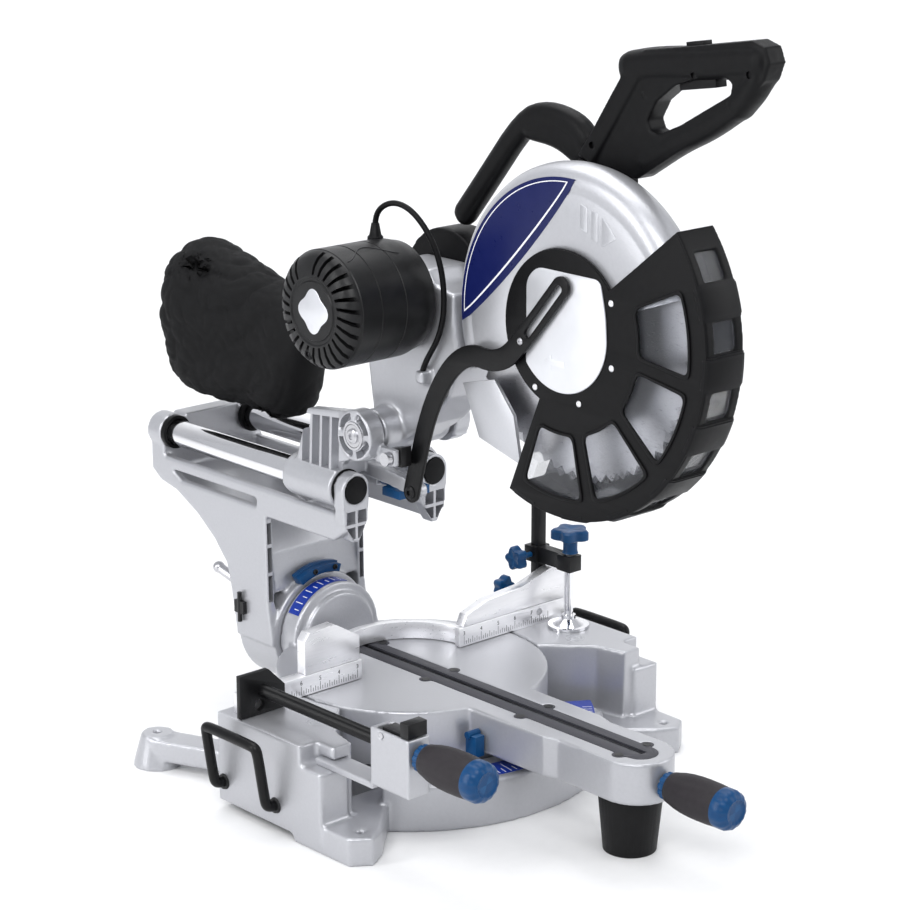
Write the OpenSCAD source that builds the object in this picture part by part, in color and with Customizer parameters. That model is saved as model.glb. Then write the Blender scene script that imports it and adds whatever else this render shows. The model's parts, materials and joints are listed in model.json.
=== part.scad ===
// Sliding compound mitre saw with a cast base, a turntable, two slide rails and a chop head.
// Millimetres, +Z up. Origin: turntable pivot on the ground. +X runs along the fence to the
// operator's right, -Y points to the operator.

/* [Base and table] */
// Height of the table above the ground
table_z = 106; // [104:1:110]
// Half width of the base casting
wing_x = 240; // [236:1:244]
// Radius of the turntable
turntable_r = 146; // [144:1:147]
// Half spacing of the bench bolt holes along X
bolt_x = 216; // [214:1:218]
// Half spacing of the bench bolt holes along Y
bolt_y = 168; // [166:1:169]
// Radius of the bench bolt holes
bolt_r = 4.5; // [3:0.25:5]
// Height of the fixed fence strip
fence_h = 22; // [18:1:24]

/* [Rails and column] */
// Half spacing of the two slide rails
rail_x = 55; // [54:1:56]
// Height of the slide rails
rail_z = 305; // [303:1:307]
// Radius of a slide rail
rail_r = 15; // [13:0.5:15]
// Front end of the rails
rail_y0 = 24; // [22:1:25]
// Rear end of the rails
rail_y1 = 352; // [345:1:356]
// Radius of the bevel ring
bevel_r = 66; // [64:1:67]

/* [Head] */
// Distance of the chop pivot behind the turntable pivot
pivot_y = 10; // [8:1:12]
// Height of the chop pivot
pivot_z = 370; // [368:1:372]
// Distance of the arbor along Y
arbor_y = -250; // [-252:1:-248]
// Height of the arbor with the head up
arbor_z = 520; // [518:1:522]
// Radius of the saw blade
blade_r = 152.5; // [150:0.5:153]
// Number of teeth
teeth = 60; // [40:4:80]
// Distance of the motor axis along Y
motor_y = -15; // [-17:1:-13]
// Height of the motor axis
motor_z = 517; // [515:1:519]
// Radius of the motor housing
motor_r = 61; // [58:1:61]
// Outer end of the motor
motor_x = -142; // [-146:1:-138]

/* [Clamps] */
// Horizontal clamp axis along X
clamp_x = -211; // [-212:1:-210]
// Horizontal clamp axis height
clamp_z = 132; // [131:1:134]
// Hold-down spindle along X
hold_x = 208; // [206:1:210]

/* [Hidden] */
$fn = 64;
run = 0.05;                       // radial clearance of a running fit
gap = 0.3;                        // clearance between parts that move past each other
guard_r = 161;                    // upper guard outer radius
guard_x = 21;                     // upper guard half width
low_wall = 3.5;                   // lower guard side wall
low_x = 25;                       // lower guard half width
low_rim = 14.5;                   // half width of the clear rim slots
lower_r = 188;                    // lower guard outer radius
lower_a0 = 141;                   // lower guard sector, measured from +Y towards +Z
lower_a1 = 293;
plate_r = 62;                     // silver plate on the lower guard
handle_x = 50;                    // centre plane of the main handle
sleeve_r = 23;
sleeve_y0 = 41;
sleeve_y1 = 120;
hub_r = 27;
pin_r = 12;                       // chop pivot shaft
neck_r = 40;                      // arbor neck that carries the lower guard
belt_x0 = 34;
belt_x1 = 72;
driven_r = 24;                    // blade pulley
driver_r = 14;                    // motor pulley
link_y = -37;                     // guard link pivot
link_z = 312;
insert_y0 = -358;
insert_y1 = 96;
insert_z = table_z - 3;
screw_ys = [-330, -190, -45, 70]; // kerf insert screws
lead_z = 444;                     // gland where the motor lead enters the arm
grip_tilt = -9.2;                 // rise of the main grip towards the operator

// ---- helpers -------------------------------------------------------------------------------
module cyl_x(r, x0, x1, y = 0, z = 0)
  translate([x0, y, z]) rotate([0, 90, 0]) cylinder(r = r, h = x1 - x0);
module cyl_y(r, y0, y1, x = 0, z = 0)
  translate([x, y0, z]) rotate([-90, 0, 0]) cylinder(r = r, h = y1 - y0);
module cyl_z(r, z0, z1, x = 0, y = 0)
  translate([x, y, z0]) cylinder(r = r, h = z1 - z0);
module box(x0, x1, y0, y1, z0, z1)
  translate([x0, y0, z0]) cube([x1 - x0, y1 - y0, z1 - z0]);
// A Y-Z profile extruded along X, and an X-Z profile extruded along Y
module slab_x(x0, x1)
  translate([x0, 0, 0]) rotate([90, 0, 90]) linear_extrude(x1 - x0) children();
module slab_y(y0, y1)
  translate([0, y1, 0]) rotate([90, 0, 0]) linear_extrude(y1 - y0) children();
module slab_z(z0, z1)
  translate([0, 0, z0]) linear_extrude(z1 - z0) children();
module both_sides() {
  children();
  mirror([1, 0, 0]) children();
}
function unit(v) = v / norm(v);
function left_of(d) = [-d[1], d[0]];
function heading(d) = atan2(d[1], d[0]);
// Points of an arc from angle a0 to angle a1
function arc(c, r, a0, a1, steps) =
  [for (i = [0:steps]) c + r * [cos(a0 + (a1 - a0) * i / steps), sin(a0 + (a1 - a0) * i / steps)]];
// Unit-width mitre of a polyline at point i
function mitre(p, i) =
  let (last = len(p) - 1, n0 = left_of(unit(p[max(i, 1)] - p[max(i - 1, 0)])),
    n1 = left_of(unit(p[min(i + 1, last)] - p[min(i, last - 1)])), m = unit(n0 + n1))
  m / (m * n0);
// Bent bar of width w along a polyline, with round ends
module path(points, w) {
  last = len(points) - 1;
  a0 = heading(points[0] - points[1]);
  a1 = heading(points[last] - points[last - 1]);
  polygon(concat([for (i = [1:1:last - 1]) points[i] + w / 2 * mitre(points, i)],
    arc(points[last], w / 2, a1 + 90, a1 - 90, 10),
    [for (i = [last - 1:-1:1]) points[i] - w / 2 * mitre(points, i)],
    arc(points[0], w / 2, a0 + 90, a0 - 90, 10)));
}
module strap(p, q, w) path([p, q], w);
// Two arcs joined by their common tangents
module capsule(p, r0, q, r1) {
  a = heading(q - p);
  t = acos((r0 - r1) / norm(q - p));
  polygon(concat(arc(p, r0, a + t, a + 360 - t, 32), arc(q, r1, a - t, a + t, 24)));
}
module wedge(a0, a1, r = 300)
  polygon([[0, 0], for (i = [0:8]) r * [cos(a0 + (a1 - a0) * i / 8), sin(a0 + (a1 - a0) * i / 8)]]);
module sector(r0, r1, a0, a1) intersection() {
  difference() {
    circle(r = r1);
    circle(r = r0);
  }
  wedge(a0, a1);
}
module at_arbor() translate([arbor_y, arbor_z]) children();
module rod(p, q, r) {
  d = q - p;
  translate(p) rotate([0, acos(d[2] / norm(d)), atan2(d[1], d[0])]) cylinder(r = r, h = norm(d));
}
function along(p, i) = unit(p[min(i + 1, len(p) - 1)] - p[max(i - 1, 0)]);
module sweep(p, r, n = 8) {
  ref = [1, 0, 0];
  rings = [for (i = [0:len(p) - 1])
    let (t = along(p, i), a = unit(cross(t, ref)), b = cross(t, a))
    for (k = [0:n - 1]) p[i] + r * (cos(360 * k / n) * a + sin(360 * k / n) * b)];
  sides = [for (i = [0:len(p) - 2]) for (k = [0:n - 1])
    [i * n + k, (i + 1) * n + k, (i + 1) * n + (k + 1) % n, i * n + (k + 1) % n]];
  polyhedron(rings, concat([[for (k = [0:n - 1]) k]], sides,
    [[for (k = [n - 1:-1:0]) (len(p) - 1) * n + k]]));
}
// Barrel grip along -Y from the origin
module grip_body() rotate([90, 0, 0]) rotate_extrude()
  polygon([[5, 8], [16, 8], [19, 22], [22, 42], [22, 58], [20.5, 74], [5, 74]]);
module grip_collars() rotate([90, 0, 0]) {
  difference() {
    cylinder(r = 14, h = 8);
    translate([0, 0, -1]) cylinder(r = 5, h = 10);
  }
  translate([0, 0, 74]) cylinder(r = 20.5, h = 12);
  translate([0, 0, 86]) cylinder(r1 = 20.5, r2 = 15, h = 6);
}
// Star knob along +Z with its stem at the origin
module star_knob(r) linear_extrude(12)
  polygon([for (a = [0:8:352]) r * (0.87 + 0.13 * cos(5 * a)) * [cos(a), sin(a)]]);

// ---- base ----------------------------------------------------------------------------------
module wing_2d()
  polygon([[90, 30], [wing_x, 30], [wing_x, -104], [218, -104], [218, -130], [194, -130],
    [186, -96], [143, -50], [120, -50]]);
module base_casting() color("silver") difference() {
  union() {
    both_sides() {
      slab_z(8, table_z) wing_2d();
      slab_z(8, table_z - 21) polygon([[186, -96], [wing_x, -96], [wing_x, -136], [204, -136]]);
      slab_z(0, 30) polygon([[110, -96], [196, -178], [218, -190], [238, -176], [wing_x, -90]]);
      slab_z(10, 34) strap([150, 10], [bolt_x, bolt_y - 8], 34);
      translate([bolt_x, bolt_y, 0]) cylinder(r1 = 27, r2 = 17, h = 36);
    }
    cyl_z(turntable_r + 3.5, 8, 44);
    intersection() {
      cyl_z(206, 0, 50);
      slab_z(0, 50) wedge(-140, -40);
    }
  }
  cyl_z(turntable_r + 2.5, 44, table_z + 1);
  cyl_z(10 + run, -1, 60);
  cyl_z(22, -1, 8);
  box(clamp_x - 13, clamp_x + 13, -140, -108, table_z - 21, table_z - 14);
  both_sides() {
    slab_z(-1, table_z - 8) polygon([[158, 22], [wing_x - 8, 22], [wing_x - 8, -88], [196, -88],
      [158, -52]]);
    cyl_z(bolt_r, -1, 60, bolt_x, -bolt_y);
    cyl_z(bolt_r, -1, 60, bolt_x, bolt_y);
  }
}
module carry_bars() color([0.1, 0.1, 0.11]) both_sides() for (y = [20, -64]) {
  cyl_x(5.5, wing_x, wing_x + 12, y, 31);
  translate([wing_x + 12, y, 31]) sphere(r = 5.5);
  rod([wing_x + 12, y, 31], [wing_x + 23, y, 99], 5.5);
  translate([wing_x + 23, y, 99]) sphere(r = 5.5);
  cyl_y(5.5, -64, 20, wing_x + 23, 99);
}
module turntable_pivot_bolt() color("dimgray") {
  cyl_z(10, 8, 60);
  translate([0, 0, 4]) cylinder(r = 18, h = 4, $fn = 6);
}
module fence() color("whitesmoke") difference() {
  union() {
    both_sides() {
      box(70, 92, 0, 8, table_z + 0.8, table_z + fence_h);
      box(90, 230, 0, 14, table_z + 0.8, table_z + fence_h);
      box(152, 230, 0, 14, table_z, table_z + fence_h);
    }
    slab_z(table_z + 0.8, table_z + 20) sector(77, 86, 3, 177);
  }
  both_sides() cyl_y(4, -1, 15, 190, table_z + 14);
}
module fence_upper_left() color("white") slab_y(1, 14) polygon([[-72, table_z + fence_h + gap],
  [-72, 155], [-106, 175], [-140, 173], [-146, 165], [-146, table_z + fence_h + gap]]);
module fence_upper_right() color("white") slab_y(1, 14) polygon([[76, table_z + fence_h + gap],
  [230, table_z + fence_h + gap], [230, 167], [206, 167], [166, 155], [112, 151], [82, 141]]);
module fence_knob() color("royalblue") {
  translate([165, 27, 147]) rotate([-90, 0, 0]) star_knob(13);
  cyl_y(3, 14 + gap, 27, 165, 147);
}

// ---- turntable -----------------------------------------------------------------------------
module arm_2d()
  polygon([[-44, -90], [-42, -246], [-37, -262], [-38, -335], [38, -335], [37, -262], [42, -246],
    [44, -90]]);
module insert_2d() {
  translate([-18, insert_y0 + 18]) square([36, insert_y1 - insert_y0 - 36]);
  translate([0, insert_y0 + 18]) circle(r = 18);
  translate([0, insert_y1 - 18]) circle(r = 18);
  for (y = screw_ys) for (x = [-20, 20]) translate([x, y]) circle(r = 7);
}
module turntable_casting() color("lightgray") difference() {
  union() {
    cyl_z(turntable_r, 46, table_z);
    slab_z(62, table_z) {
      arm_2d();
      translate([0, -335]) circle(r = 38);
    }
    box(-58, 58, 90, 150, 48, 100);
    cyl_y(60, 124, 150, 0, table_z);
    cyl_y(49, 118, 124, 0, table_z);
  }
  difference() {
    cyl_z(136, 45, 96);
    cyl_z(32, 44, 97);
    box(-58, 58, 88, 150, 44, 97);
  }
  cyl_z(10 + run, 45, 62);
  slab_z(insert_z, table_z + 1) insert_2d();
  box(-13, 13, -348, 84, 88, insert_z + 1);
  cyl_y(6 + run, -380, -300, 0, 82);
}
module kerf_insert() color([0.25, 0.25, 0.27]) difference() {
  slab_z(insert_z, table_z - 0.3) insert_2d();
  box(-2.5, 5.5, insert_y0 + 14, insert_y1 - 10, insert_z - 1, table_z + 1);
  for (y = screw_ys) for (x = [-20, 20]) cyl_z(2.5, insert_z - 1, table_z + 1, x, y);
}
module insert_screws() color("black") for (y = screw_ys) for (x = [-20, 20]) {
  cyl_z(2.5, insert_z, table_z - 0.3, x, y);
  cyl_z(4.5, table_z - 0.3, table_z, x, y);
}
module front_foot() color([0.08, 0.08, 0.09])
  translate([0, -328, 0]) cylinder(r1 = 27, r2 = 33, h = 62);
module mitre_lock_rod() color("gray") cyl_y(6, -384, -300, 0, 82);
module mitre_grip() color([0.22, 0.2, 0.22]) translate([0, -376, 82]) grip_body();
module mitre_grip_cap() color("royalblue") translate([0, -376, 82]) difference() {
  grip_collars();
  cyl_y(6, -10, 1);
}
module detent_lever() color("royalblue") {
  box(-58, -46, -164, -149, 62, 84);
  cyl_x(4, -60, -44 - gap, -153, 84);
}

// ---- bevel column --------------------------------------------------------------------------
module column_side_2d() difference() {
  polygon([[151, 100], [151, 106], [158, 150], [160, 248], [45, 248], [24, 262], [24, 279], [340, 279],
    [366, 300], [366, 260], [350, 249], [321, 243], [283, 224], [253, 202], [231, 178],
    [224, 150], [216, 106], [216, 100]]);
  polygon([[176, 266], [330, 266], [312, 256], [176, 256]]);
}
module column_casting() color("silver") difference() {
  union() {
    both_sides() {
      slab_x(60, 70) column_side_2d();
      slab_y(rail_y0, 40) {
        polygon(concat(arc([rail_x, rail_z], 18.5, -8, 188, 24),
          [[rail_x - 16, 270], [rail_x - 4, 248], [rail_x + 4, 248], [rail_x + 16, 270]]));
      }
      slab_y(342, 366) translate([rail_x, rail_z]) circle(r = 20);
      slab_x(37, 70) polygon([[342, 279], [366, 279], [366, 305], [342, 305]]);
    }
    slab_x(-60, 60) polygon([[210, 148], [224, 148], [231, 178], [253, 202], [283, 224],
      [321, 243], [366, 250], [366, 279], [342, 279], [342, 262], [318, 253], [278, 233],
      [246, 210], [222, 182]]);
    slab_x(-60, 60) path([[164, 160], [172, 200], [190, 240]], 6);
    box(-37, 37, 342, 366, 279, 322);
    cyl_y(bevel_r, 151, 216, 0, table_z);
  }
  both_sides() cyl_y(rail_r, rail_y0 + 6, rail_y1, rail_x, rail_z);
  both_sides() cyl_y(rail_r - 0.5, rail_y0 - 1, rail_y0 + 6, rail_x, rail_z);
  cyl_y(56, 158, 208, 0, table_z);
  cyl_y(8 + run, 150, 217, 0, table_z);
}
module slide_rails() color("white") both_sides() difference() {
  cyl_y(rail_r, rail_y0 + 6, rail_y1, rail_x, rail_z);
  cyl_y(rail_r - 4, rail_y0 + 5, rail_y1 + 1, rail_x, rail_z);
}
module rail_caps() color("black") both_sides() {
  cyl_y(rail_r - 0.5, rail_y0 - 1, rail_y0 + 6, rail_x, rail_z);
  difference() {
    cyl_y(19, 335, 342, rail_x, rail_z);
    cyl_y(rail_r, 334, 343, rail_x, rail_z);
  }
}
module bevel_pointer() color("royalblue") {
  slab_y(144, 151) translate([0, table_z]) sector(67, 76, 72, 118);
  slab_y(151, 158) translate([0, table_z]) sector(bevel_r, 78, 72, 118);
}
module bevel_lock_lever() color("gray") {
  cyl_y(18, 217, 230, 0, table_z);
  cyl_y(8, 152, 217, 0, table_z);
  rod([-6, 228, 112], [-25, 304, 146], 6);
  translate([-25, 304, 146]) sphere(r = 7);
}

// ---- carriage ------------------------------------------------------------------------------
module carriage_casting() color("silver") difference() {
  union() {
    both_sides() {
      cyl_y(sleeve_r, sleeve_y0, sleeve_y1, rail_x, rail_z);
      cyl_x(hub_r, 50, 70, pivot_y, pivot_z);
      slab_x(52, 68) polygon([[-14, 352], [36, 336], [42, 330], [42, 318], [118, 318], [106, 328],
        [88, 384], [24, 393]]);
    }
    box(-rail_x, rail_x, sleeve_y0, sleeve_y1, 318, 334);
    box(-57, -50, -40, -10, 344, 362);
    box(-12, 12, sleeve_y0, 62, 298, 318);
    slab_x(-26, -16) path([[62, 320], [10, 318], [link_y, link_z]], 16);
  }
  both_sides() cyl_y(rail_r + run, sleeve_y0 - 1, sleeve_y1 + 1, rail_x, rail_z);
  cyl_x(pin_r, -71, 71, pivot_y, pivot_z);
  both_sides() for (a = [20:90:300]) translate([71, pivot_y, pivot_z]) rotate([a, 0, 0])
    translate([-6, 0, 20]) rotate([0, 90, 0]) cylinder(r = 4.5, h = 7);
  cyl_x(4 + run, -27, -15, link_y, link_z);
  cyl_x(4 + run, -58, -49, -31, 352);
}
module sleeve_seals() color("black") both_sides() for (y = [sleeve_y0 - 0.8, sleeve_y1]) difference() {
  cyl_y(20, y, y + 0.8, rail_x, rail_z);
  cyl_y(rail_r + gap, y - 1, y + 2, rail_x, rail_z);
}
module chop_pivot_shaft() color("gray") {
  cyl_x(pin_r, -71, 71, pivot_y, pivot_z);
  both_sides() translate([71, pivot_y, pivot_z]) rotate([0, 90, 0]) cylinder(r = 15, h = 4);
}
module head_lock_housing() color("black") difference() {
  slab_x(-49.9, -36) polygon([[-42, 343], [-18, 343], [-18, 358], [-42, 364]]);
  cyl_x(4 + run, -60, -35, -31, 352);
}
module head_lock_pin() color("dimgray") {
  cyl_x(4, -58, -37, -31, 352);
  cyl_x(7, -64, -58, -31, 352);
}
module slide_lock_lever() color("royalblue") {
  cyl_y(9, 30, 40.7, 0, 306);
  box(-14, 28, 2, 30, 291, 300);
  box(-8, 8, 22, 30, 299, 306);
}
module guard_link() color([0.1, 0.1, 0.11]) {
  slab_x(-33.5, -29.5) difference() {
    path([[link_y, link_z], [-67, 417], [-116, 478], [-170, 472], [-207, 509], [-254, 564]], 22);
    path([[-209, 511], [-252, 562]], 8);
  }
  cyl_x(4, -29.5, -16, link_y, link_z);
}

// ---- head ----------------------------------------------------------------------------------
module head_arm() color("silver") difference() {
  union() {
    cyl_x(24, -46, 46, pivot_y, pivot_z);
    slab_x(-guard_x, belt_x0) polygon([[-14, 360], [34, 366], [44, 430], [40, 520], [10, 548],
      [-50, 548], [-62, 532], [-100, 526], [-100, 470], [-82, 420], [-50, 384]]);
    box(-34, -guard_x, -57, -45, 430, lead_z);
  }
  cyl_x(guard_r, -60, 60, arbor_y, arbor_z);
  cyl_x(pin_r + run, -60, 60, pivot_y, pivot_z);
  cyl_x(15, -60, 60, motor_y, motor_z);
  cyl_y(19, 20, 60, 0, 452);
}
module upper_guard() color("silver") {
  slab_x(-guard_x, guard_x) at_arbor() sector(guard_r - 5, guard_r, -25, 160);
  slab_x(-guard_x, -guard_x + 4) at_arbor() sector(66, guard_r - 5, -25, 160);
  slab_x(guard_x - 4, guard_x) difference() {
    at_arbor() {
      sector(0.01, guard_r - 5, -25, 160);
      circle(r = 46);
    }
    at_arbor() circle(r = 16);
  }
}
module belt_outline(grow) {
  capsule([arbor_y, arbor_z], 34 + grow, [motor_y, motor_z], 24 + grow);
  translate([motor_y, motor_z]) circle(r = motor_r + grow);
}
module belt_housing() color([0.1, 0.1, 0.11]) difference() {
  union() {
    slab_x(belt_x0, belt_x1) belt_outline(0);
    cyl_x(neck_r, guard_x, belt_x0, arbor_y, arbor_z);
    slab_x(36, 64) polygon([[-198, 536], [-205, 676], [-262, 663], [-276, 536]]);
  }
  slab_x(belt_x0 + 6, belt_x1 - 4) belt_outline(-4);
  cyl_x(12 + run, guard_x - 1, belt_x0 + 7, arbor_y, arbor_z);
  cyl_x(8, belt_x0 - 1, belt_x0 + 7, motor_y, motor_z);
}
module motor_housing() color([0.1, 0.1, 0.11]) difference() {
  union() {
    cyl_x(motor_r, motor_x + 14, -guard_x, motor_y, motor_z);
    slab_x(-58, -guard_x) polygon([[-8, 500], [-60, 500], [-72, 548], [-52, 592], [10, 592]]);
  }
  cyl_x(motor_r - 4, motor_x + 13, -36, motor_y, motor_z);
  cyl_x(10, -37, -20, motor_y, motor_z);
  slab_x(-29, -20) at_arbor() circle(r = lower_r + 3);
}
module motor_end_cap() color([0.08, 0.08, 0.09]) difference() {
  union() {
    cyl_x(motor_r - 1, motor_x + 4, motor_x + 14, motor_y, motor_z);
    cyl_x(motor_r - 8, motor_x, motor_x + 4, motor_y, motor_z);
  }
  for (i = [0:19]) translate([motor_x - 1, motor_y, motor_z]) rotate([18 * i, 0, 0])
    translate([0, -2, 28]) cube([11, 4, 20]);
}
module motor_stator() color("darkgoldenrod") difference() {
  cyl_x(54, -112, -52, motor_y, motor_z);
  cyl_x(31, -113, -51, motor_y, motor_z);
}
module motor_armature() color("peru") {
  cyl_x(6, -122, 66, motor_y, motor_z);
  cyl_x(29, -108, -56, motor_y, motor_z);
  cyl_x(driver_r, 46, 62, motor_y, motor_z);
}
module drive_belt() color("black") slab_x(48, 60) difference() {
  belt_run(4);
  belt_run(gap);
}
module belt_run(grow)
  capsule([arbor_y, arbor_z], driven_r + grow, [motor_y, motor_z], driver_r + grow);
module motor_lead() color("black") sweep([[-50, -4, 592], [-50, -5, 602], [-49, -13, 612],
  [-46, -30, 618], [-42, -48, 613], [-38, -63, 599], [-34, -75, 580], [-31, -83, 556],
  [-30, -86, 530], [-29, -84, 506], [-28, -76, 484], [-28, -64, 466], [-28, -55, 454],
  [-28, -51, lead_z]], 3);
module carry_handle() color([0.1, 0.1, 0.11]) slab_x(40, 62) difference() {
  path([[-24, 588], [-62, 632], [-118, 700], [-150, 711], [-190, 704], [-206, 690]], 26);
  belt_outline(0);
  polygon([[-198, 536], [-205, 676], [-262, 663], [-276, 536]]);
  main_handle_2d();
}
module main_handle_2d() difference() {
  polygon([[-205, 676], [-226, 706], [-250, 742], [-272, 776], [-290, 788], [-350, 797],
    [-424, 809], [-440, 804], [-446, 790], [-440, 774], [-408, 738], [-345, 702], [-284, 664],
    [-262, 663]]);
  polygon([[-300, 713], [-296, 722], [-306, 740], [-330, 758], [-360, 768], [-390, 773],
    [-401, 768], [-400, 757], [-366, 738], [-338, 722], [-310, 710]]);
}
module grip_frame() translate([handle_x, -352, 784]) rotate([grip_tilt, 0, 0]) children();
module handle_pockets() {
  grip_frame() {
    box(-8, 8, -25, 25, -30, -6);
    box(-6.5, 6.5, -12, 12, 7, 20);
  }
}
module main_handle_left() color([0.12, 0.12, 0.13]) difference() {
  slab_x(handle_x - 15, handle_x) main_handle_2d();
  handle_pockets();
}
module main_handle_right() color([0.12, 0.12, 0.13]) difference() {
  slab_x(handle_x, handle_x + 15) main_handle_2d();
  handle_pockets();
}
module trigger() color("black") grip_frame() box(-7.5, 7.5, -23, 23, -27, -12);
module lock_off_button() color("black") grip_frame() box(-6, 6, -11, 11, 11, 17);
module dust_chute() color("white") {
  for (x = [-guard_x, guard_x - 4]) slab_x(x, x + 4) difference() {
    polygon([[-104, 440], [-128, 388], [-188, 372], [-178, 420], [-150, 452]]);
    at_arbor() sector(0.01, guard_r, -25, 160);
  }
  slab_x(-guard_x + 4, guard_x - 4) strap([-107, 436], [-129, 390], 3);
}
module dust_port() color([0.1, 0.1, 0.11]) difference() {
  union() {
    cyl_y(24, 44, 150, 0, 452);
    cyl_y(27, 128, 150, 0, 452);
  }
  cyl_y(20, 40, 151, 0, 452);
}
module dust_bag() color([0.06, 0.06, 0.06]) hull() {
  cyl_y(26, 150, 156, 0, 452);
  translate([4, 345, 464]) sphere(r = 54, $fn = 32);
  translate([4, 342, 398]) sphere(r = 56, $fn = 32);
  translate([2, 214, 373]) sphere(r = 40, $fn = 32);
}

// ---- blade and lower guard -----------------------------------------------------------------
module blade() color("gainsboro") slab_x(-1.2, 1.2) at_arbor() difference() {
  polygon([for (i = [0:teeth - 1]) for (k = [0:2])
    let (a = 360 * (i + [0, 0.12, 0.5][k]) / teeth, r = blade_r - [0, 0, 7][k])
    r * [cos(a), sin(a)]]);
  circle(r = 15);
}
module arbor_shaft() color("dimgray") {
  cyl_x(15, -6, 6, arbor_y, arbor_z);
  for (x = [-6, 1.2]) difference() {
    cyl_x(28, x, x + 4.8, arbor_y, arbor_z);
    cyl_x(14, x - 1, x + 6, arbor_y, arbor_z);
  }
  cyl_x(12, 6, 66, arbor_y, arbor_z);
  cyl_x(driven_r, 46, 62, arbor_y, arbor_z);
  translate([-14, arbor_y, arbor_z]) rotate([0, 90, 0]) cylinder(r = 11, h = 8, $fn = 6);
}
module face_windows() for (i = [0:3]) sector(102, 168, 157 + 34 * i, 186 + 34 * i);
module rim_slots() for (i = [0:6]) wedge(148 + 20.5 * i, 157 + 20.5 * i);
module lower_guard_frame() color([0.13, 0.13, 0.14]) {
  slab_x(-low_x, -low_x + low_wall) at_arbor() difference() {
    union() {
      sector(0.01, lower_r, lower_a0, lower_a1);
      circle(r = 80);
    }
    face_windows();
    circle(r = 20);
  }
  slab_x(low_x - low_wall, low_x) at_arbor() sector(neck_r + run, lower_r, lower_a0, lower_a1);
  slab_x(low_x - low_wall, low_x) at_arbor() difference() {
    circle(r = 52);
    circle(r = neck_r + run);
  }
  slab_x(-low_x, low_x) at_arbor() difference() {
    sector(lower_r - 5, lower_r, lower_a0, lower_a1);
    rim_slots();
  }
  for (x = [-low_x, low_rim]) slab_x(x, x + low_x - low_rim) at_arbor() intersection() {
    sector(lower_r - 5, lower_r, lower_a0, lower_a1);
    rim_slots();
  }
}
module lower_guard_windows() color([0.8, 0.85, 0.9, 0.4]) {
  slab_x(-low_x + 1, -low_x + 2.5) at_arbor() face_windows();
  slab_x(-low_rim, low_rim) at_arbor() intersection() {
    sector(lower_r - 4, lower_r - 2, lower_a0, lower_a1);
    rim_slots();
  }
}
module lower_guard_plate() color("silver") {
  slab_x(-low_x - 3, -low_x) at_arbor() polygon(concat(
    [for (a = [-39:-6:-177]) plate_r * [cos(a), sin(a)]],
    [[-plate_r, 0], [-60, 24], [-52, 58], [34, 58], [48, 44]]));
  for (p = [[76, 150], [72, 200], [72, 250], [72, 300]])
    translate([-low_x - 3, arbor_y, arbor_z]) rotate([p.y, 0, 0])
      translate([0, p.x, 0]) rotate([0, 90, 0]) cylinder(r = 3, h = 3);
}

// ---- clamps --------------------------------------------------------------------------------
module clamp_body() color("lightgray") difference() {
  union() {
    box(clamp_x - 13, clamp_x + 13, -196, -108, table_z - 21, table_z - 14);
    box(clamp_x - 14, clamp_x + 14, -250, -194, table_z - 16, clamp_z + 18);
  }
  box(clamp_x - 10, clamp_x + 10, -245, -199, table_z - 10, clamp_z + 20);
  cyl_y(7 + run, -260, -190, clamp_x, clamp_z);
  cyl_x(3, clamp_x - 15, clamp_x + 15, -210, clamp_z + 13);
}
module clamp_bar() color([0.08, 0.08, 0.09]) {
  cyl_y(7, -261.7, -10, clamp_x, clamp_z);
  slab_y(-10, -4) difference() {
    polygon([[clamp_x - 29, 107], [clamp_x + 29, 107], [clamp_x + 29, 132], [clamp_x + 8, 153],
      [clamp_x - 29, 153]]);
    translate([clamp_x - 4, 117]) circle(r = 6);
  }
}
module clamp_grip() color([0.22, 0.2, 0.22]) translate([clamp_x, -254, clamp_z]) grip_body();
module clamp_grip_cap() color("royalblue") translate([clamp_x, -254, clamp_z]) difference() {
  grip_collars();
  cyl_y(7 + run, -10, 1);
}
module clamp_lever() color([0.3, 0.28, 0.28]) difference() {
  union() {
    box(clamp_x - 8, clamp_x + 8, -222, -206, clamp_z + 9, clamp_z + 20);
    box(clamp_x - 8, clamp_x + 8, -238, -222, clamp_z + 14, clamp_z + 20);
    box(clamp_x - 12, clamp_x + 12, -248, -236, clamp_z + 19, clamp_z + 34);
  }
  cyl_x(3 + run, clamp_x - 10, clamp_x + 10, -210, clamp_z + 13);
}
module clamp_lever_pin() color("gray")
  cyl_x(3, clamp_x - 14, clamp_x + 14, -210, clamp_z + 13);
module hold_down_post() color([0.1, 0.1, 0.11])
  box(hold_x - 6, hold_x + 6, 15, 27, table_z, 262);
module hold_down_arm() color([0.12, 0.12, 0.13]) difference() {
  union() {
    box(hold_x - 11, hold_x + 11, 14.5, 32, 172, 190);
    box(hold_x - 6, hold_x + 6, -22, 14.5, 172, 190);
    box(hold_x - 9, hold_x + 9, -38, -18, 172, 190);
  }
  box(hold_x - 6 - gap, hold_x + 6 + gap, 15 - gap, 27 + gap, 170, 192);
  cyl_z(5 + run, 170, 192, hold_x, -28);
}
module hold_down_spindle() color("gainsboro") {
  cyl_z(5, 114, 200, hold_x, -28);
  translate([hold_x, -28, table_z + gap]) cylinder(r = 23, h = 3);
  translate([hold_x, -28, table_z + 3]) cylinder(r1 = 18, r2 = 8, h = 7);
  cyl_z(8, table_z + 10, 120, hold_x, -28);
}
module hold_down_knob() color("royalblue") {
  translate([hold_x, -28, 208]) star_knob(22);
  difference() {
    cyl_z(9, 192, 209, hold_x, -28);
    cyl_z(5, 190, 200, hold_x, -28);
  }
}
module hold_down_arm_knob() color("royalblue") {
  translate([hold_x - 28, 21, 181]) rotate([0, -90, 0]) star_knob(14);
  cyl_x(3, hold_x - 28, hold_x - 12, 21, 181);
}
base_casting();
fence();
fence_upper_left();
fence_upper_right();
fence_knob();
carry_bars();
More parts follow.
